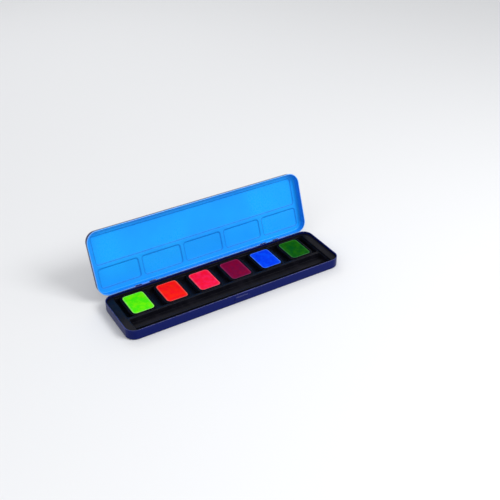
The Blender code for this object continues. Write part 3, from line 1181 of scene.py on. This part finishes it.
    def build(self) -> None:
        """Builds the lid and sets it on its body."""
        sheet = self.sheet()
        lining = sheet.twin("lid_lining")
        outside = sheet.twin("lid_shell")
        bpy.data.objects.remove(sheet.obj)
        outside_wall = SHEET.thickness - self.coat - self.coat_gap
        outside.apply("SOLIDIFY", thickness=outside_wall, offset=-1, use_even_offset=True)
        start = (SHEET.thickness - self.coat) / self.coat
        lining.apply("SOLIDIFY", thickness=self.coat, offset=-1 - 2 * start, use_even_offset=True)
        hem = rolled_edge("lid_hem", self.plan.grown(self.bore), self.rim + self.hem, self.hem)
        for piece in (outside, lining, hem):
            for side in Side:
                piece.cut(self.notch(side))
        # below this height the lining gets a painted shade line along the hem
        hem_shade_top = self.rim + self.hem + sum(self.seam) / 2
        lining.mark("ridge", self.ridge_share)
        # painted shade on the skirt
        lining.mark("skirt", self.skirt_share)
        lining.mark("seam", lambda place: float(place.z < hem_shade_top))
        self.swing_open(outside, TIN, "tin_lacquer")
        self.swing_open(lining, LINING, "lid_enamel")
        self.swing_open(hem, HEM, "lid_enamel")
        hinge = self.hinge
        leaf_z = (hinge.sweep + hinge.leaf, hinge.sweep)
        for side in Side:
            middle = hinge.middle_x(side)
            span = (middle - hinge.middle / 2, middle + hinge.middle / 2)
            name = f"lid_curl_{side.name}".lower()
            strip = hinge.strip(name, hinge.sink - hinge.curl, leaf_z, hinge.lid_arc, span)
            self.swing_open(strip, HEM, "lid_enamel")


# Insert, pans and paint


@dataclass
class Pans:
    """The six pans and their cakes, all of one shape."""

    cake: Plan = Plan(10.85 * MM, 14.7 * MM, 3.6 * MM)
    wall: float = 0.9 * MM
    height: float = 5.7 * MM
    draft: float = 0.4 * MM
    foot: float = 0.8 * MM
    foot_steps: int = 4
    lip: float = 0.22 * MM
    lip_steps: int = 3
    drop: float = 0.6 * MM
    edge: float = 0.5 * MM
    edge_steps: int = 4
    edge_reach: float = 1.25 * MM
    worn_reach: float = 4.5 * MM
    dish: float = 0.42 * MM
    even: float = 0.75
    uneven: float = 0.35
    hollow_size: float = 7 * MM
    pit_size: float = 1.5 * MM
    pit_depth: float = 0.03 * MM
    pitch: float = 35 * MM
    row_y: float = 11.6 * MM
    bottom: float = 1.8 * MM
    steps: int = 10
    cells: tuple[int, int] = (40, 54)

    @property
    def plan(self) -> Plan:
        """The outline of a pan at its rim."""
        return self.cake.grown(SHEET.clearance + self.wall)

    def middle(self, place: int) -> Vector:
        """The middle of a pan's underside, from the pan's place in the row."""
        return Vector(((place - (len(Paint) - 1) / 2) * self.pitch, self.row_y, self.bottom))

    def pan(self) -> Bench:
        """Moulds one pan, standing on zero.

        Returns:
            The bench with the pan on it.
        """
        plan = self.plan
        bench = Bench.slab("pan", plan, 0, self.height, self.steps)
        bench.pick(Pick.VERT, level(0))
        bench.shrink(plan, self.draft)
        bench.bevel(rims(faces_down), self.foot, self.foot_steps)
        bench.pick(Pick.FACE, faces_up)
        bench.inset(self.wall)
        bench.extrude((0, 0, self.wall - self.height))
        bench.shrink(plan, self.draft)
        return bench.bevel(lips(self.height), self.lip, self.lip_steps)

    def top_place(self, place: Vector) -> Vector:
        """Where a point of the cake's square top goes, inside its round corners.

        Args:
            place: The point before.

        Returns:
            The point after.
        """
        plan = self.cake
        over_x = (abs(place.x) - (plan.half_x - plan.corner)) / plan.corner
        over_y = (abs(place.y) - (plan.half_y - plan.corner)) / plan.corner
        if min(over_x, over_y) <= 0:
            return place
        x = plan.half_x - plan.corner + plan.corner * over_x * math.sqrt(1 - over_y * over_y / 2)
        y = plan.half_y - plan.corner + plan.corner * over_y * math.sqrt(1 - over_x * over_x / 2)
        return Vector((math.copysign(x, place.x), math.copysign(y, place.y), place.z))

    def worn_place(self, place: Vector, seed: float) -> Vector:
        """Where a point of a cake goes when a brush has worn the top.

        Args:
            place: The point before.
            seed: What sets one cake's wear off from another's.

        Returns:
            The point after.
        """
        if place.z <= self.height - self.drop - MERGE:
            return place
        share = eased(self.cake.edge_distance(place.x, place.y) / self.worn_reach)
        broad = noise.noise(Vector((place.x, place.y, seed)) / self.hollow_size)
        fine = noise.noise(Vector((place.x, place.y, -seed)) / self.pit_size)
        depth = share * (self.dish * (self.even + self.uneven * broad) + self.pit_depth * fine)
        return place - Vector((0, 0, depth))

    def edge_share(self, place: Vector) -> float:
        """How near a point of a cake is to its edge, where it is one."""
        return 1 - min(self.cake.edge_distance(place.x, place.y) / self.edge_reach, 1.0) ** 2

    def cake_mesh(self, place: int, paint: Paint) -> Bench:
        """Presses one cake of paint, with a soft edge and a worn top.

        Args:
            place: Its place in the row.
            paint: Its colour.

        Returns:
            The bench with the cake on it, in its pan.
        """
        plan, top = self.cake, self.height - self.drop
        across, along = self.cells
        deselect()
        bpy.ops.mesh.primitive_grid_add(
            x_subdivisions=across, y_subdivisions=along, size=2, location=(0, 0, top),
        )
        bench = Bench(bpy.context.object, f"paint_cake_{paint.label}")
        bench.obj.scale = (plan.half_x, plan.half_y, 1)
        bench.settle().move_verts(self.top_place)
        bench.pick(Pick.EDGE, lambda edge: edge.is_boundary)
        bench.extrude((0, 0, self.wall + SHEET.clearance - top))
        bench.shrink(plan, self.draft)
        bpy.ops.mesh.edge_face_add()
        bench.turn_out()
        bench.bevel(rims(faces_up), self.edge, self.edge_steps)
        seed = (place + 1) * self.pitch
        bench.move_verts(lambda point: self.worn_place(point, seed))
        bench.mark("edge", self.edge_share)
        bench.obj.data.transform(Matrix.Translation(self.middle(place)))
        return bench

    def build(self) -> None:
        """Builds the pans and cakes and sets them on their bodies."""
        pan = self.pan()
        for place, paint in enumerate(Paint):
            name = paint.label
            shell = pan.twin(f"pan_shell_{name}", self.middle(place))
            shell.finish(PLASTIC, f"{name}_pan", "black_moulding", [f"pan_{name}"], MOULDED_ANGLE)
            cake, look = self.cake_mesh(place, paint), Watercolour(*paint.value)
            cake.finish(look, f"{name}_pan", f"{name}_paint", [f"paint_{name}"], CAKE_ANGLE)
        bpy.data.objects.remove(pan.obj)


@dataclass
class Insert:
    """The moulded tray: end decks, the bay with a collar round each pan, and the brush gutter."""

    pans: Pans
    plan: Plan = Plan(114.5 * MM, 29.4 * MM, 8.9 * MM)
    bottom: float = 0.6 * MM
    top: float = 8.8 * MM
    wall: float = 1.0 * MM
    draft: float = 0.3 * MM
    floor: float = 1.5 * MM
    deck: float = 8.0 * MM
    ledge: float = 0.3 * MM
    pocket_draft: float = 0.4 * MM
    pocket_corner: float = 3.0 * MM
    divider: float = 1.4 * MM
    divider_top: float = 6.5 * MM
    gutter: float = 21.8 * MM
    collar_wall: float = 1.0 * MM
    collar_height: float = 5.4 * MM
    collar_sink: float = 0.4 * MM
    rib: Plan = Plan(103.5 * MM, 0.6 * MM, 0.588 * MM)
    rib_height: float = 1.5 * MM
    ease: float = 0.3 * MM
    ease_steps: int = 3
    ease_angle: float = math.radians(35)
    steps: int = 8
    overrun: float = 1.0 * MM

    def pocket(self, front: float, rear: float, low: float, inset: float, draft: float) -> Bench:
        """Makes the block that cuts one pocket, narrower at its floor.

        Args:
            front: Its front edge at the tray's top.
            rear: Its rear edge there.
            low: The height of its floor.
            inset: How far it is drawn in on every side.
            draft: How much further its floor is drawn in.

        Returns:
            The bench with the cutter on it.
        """
        half_x, half_y = self.plan.half_x - self.deck, (rear - front) / 2
        plan = Plan(half_x, half_y, self.pocket_corner).grown(-inset)
        middle = (front + rear) / 2
        bench = Bench.slab("pocket", plan, low, self.top + self.overrun, self.steps, (0, middle))
        bench.pick(Pick.VERT, level(low))
        bench.shrink(plan, draft, (0, middle, low))
        return bench

    def tray(self) -> Bench:
        """Moulds the tray.

        Returns:
            The bench with the tray on it.
        """
        plan = self.plan
        bench = Bench.slab("insert_tray", plan, self.bottom, self.top, SHEET.corner_steps)
        bench.pick(Pick.VERT, level(self.bottom))
        bench.shrink(plan, self.draft)
        front, rear = self.wall - plan.half_y, plan.half_y - self.wall
        divider_front = front + self.gutter
        divider_rear = divider_front + self.divider
        bench.cut(self.pocket(front, rear, self.divider_top, 0, self.ledge))
        deep = (self.floor, 2 * self.ledge, self.pocket_draft)
        bench.cut(self.pocket(divider_rear, rear, *deep))
        bench.cut(self.pocket(front, divider_front, *deep))
        return bench.apply(
            "BEVEL", width=self.ease, segments=self.ease_steps, limit_method="ANGLE",
            angle_limit=self.ease_angle,
        )

    def collar(self, middle: Vector) -> Bench:
        """Moulds the collar of one pan.

        Args:
            middle: The middle of the pan's underside.

        Returns:
            The bench with the collar on it.
        """
        outer = self.pans.plan.grown(SHEET.clearance + self.collar_wall)
        low, high = self.floor - self.collar_sink, self.floor + self.collar_height
        bench = Bench.slab("collar", outer, low, high, self.steps, middle.xy)
        bench.pick(Pick.FACE, faces_up)
        bench.inset(self.collar_wall)
        bench.extrude((0, 0, low - high + self.collar_sink / 2))
        return bench.bevel(lips(high), self.ease, self.ease_steps)

    def rib_bar(self) -> Bench:
        """Moulds the low rib along the gutter.

        Returns:
            The bench with the rib on it.
        """
        middle = self.wall - self.plan.half_y + self.gutter / 2
        low, high = self.floor - self.collar_sink, self.floor + self.rib_height
        bench = Bench.slab("rib", self.rib, low, high, self.steps, (0, middle))
        return bench.bevel(rims(faces_up), self.ease, self.ease_steps)

    def build(self) -> None:
        """Builds the insert and sets it on its body."""
        tray = self.tray()
        collars = [self.collar(self.pans.middle(place)) for place in range(len(Paint))]
        tray.join([*collars, self.rib_bar()])
        tray.finish(PLASTIC, "insert", "black_moulding", ["tray_insert"], MOULDED_ANGLE)


def dress_pins() -> None:
    """Gives the hinge pins their drawn steel."""
    for side in Side:
        pin = frame["nodes"][f"hinge_pin_{side.name.lower()}"]
        material = WIRE.material(pin.name)
        if not pin.material_slots:
            pin.data.materials.append(material)
        for slot in pin.material_slots:
            slot.material = material


# Studio


@dataclass(frozen=True)
class Camera:
    """The photograph's view: the direction, the distance and where the box sits in the frame."""

    azimuth: float = -31.24
    elevation: float = 33.61
    across: float = -23.42 * MM
    above: float = -34.85 * MM
    distance: float = 778.37 * MM
    lens: float = 57.50
    film: float = 36.0

    def build(self) -> None:
        """Adds the camera and makes it the scene's."""
        turn, tilt = math.radians(self.azimuth), math.radians(self.elevation)
        flat = math.cos(tilt)
        back = Vector((math.sin(turn) * flat, -math.cos(turn) * flat, math.sin(tilt)))
        right = Vector((0, 0, 1)).cross(back).normalized()
        up = back.cross(right)
        place = -self.across * right - self.above * up + self.distance * back
        data = bpy.data.cameras.new("camera")
        data.lens, data.sensor_width = self.lens, self.film
        camera = bpy.data.objects.new("camera", data)
        bpy.context.scene.collection.objects.link(camera)
        axes = Matrix((right, up, back)).transposed().to_4x4()
        camera.matrix_world = Matrix.Translation(place) @ axes
        bpy.context.scene.camera = camera


@dataclass(frozen=True)
class Lamp:
    """A soft area lamp that looks at the box."""

    name: str
    place: Point
    size: float
    power: float

    def build(self) -> None:
        """Adds the lamp."""
        data = bpy.data.lights.new(self.name, "AREA")
        data.size, data.energy = self.size, self.power
        lamp = bpy.data.objects.new(self.name, data)
        bpy.context.scene.collection.objects.link(lamp)
        lamp.location = self.place
        lamp.rotation_euler = (-Vector(self.place)).to_track_quat("-Z", "Y").to_euler()


@dataclass(frozen=True)
class Studio:
    """A pale floor, soft lamps and a pale background."""

    floor_size: float = 40.0
    floor_colour: Colour = (0.80, 0.81, 0.83)
    world_light: float = 0.6
    lamps: tuple[Lamp, ...] = (
        Lamp("key", (0.50, -0.75, 0.90), 0.55, 9.5),
        Lamp("fill", (-0.8, -0.5, 0.7), 0.8, 2.0),
        Lamp("rear", (0.1, 0.9, 0.8), 0.7, 2.2),
    )

    def floor(self) -> None:
        """Lays the floor, wide enough to reach the horizon in every view."""
        deselect()
        bpy.ops.mesh.primitive_plane_add(size=self.floor_size, location=(0, 0, 0))
        floor = bpy.context.object
        floor.name = "floor"
        board = Board("floor_finish")
        board.set(base_color=self.floor_colour, roughness=0.85, specular_ior_level=0.2)
        floor.data.materials.append(board.owner)

    def world(self) -> None:
        """Lights the scene evenly, from a plain pale world."""
        board = Board("studio", bpy.data.worlds, "Background")
        bpy.context.scene.world = board.owner
        board.set(color=(1, 1, 1), strength=self.world_light)

    def build(self) -> None:
        """Sets the studio up."""
        self.floor()
        self.world()
        for lamp in self.lamps:
            lamp.build()
        bpy.context.scene.view_settings.view_transform = "Standard"


def lid_joint() -> dict[str, Any]:
    """The record's joint of the lid."""
    return next(joint for joint in frame["joints"] if joint["name"] == "lid_hinge")


def main() -> None:
    """Builds the box, the studio and the camera."""
    logging.basicConfig(level=logging.INFO, format="%(message)s")
    joint = lid_joint()
    open_angle = math.radians(max(joint["range_deg"]) - min(joint["range_deg"]))
    hinge = Hinge(Vector(joint["pos_m"]), open_angle)
    base = BaseTin(hinge)
    pans = Pans()
    Camera().build()
    Studio().build()
    base.build()
    LidTin(hinge, base).build()
    Insert(pans).build()
    pans.build()
    dress_pins()


if __name__ == "__main__":
    main()
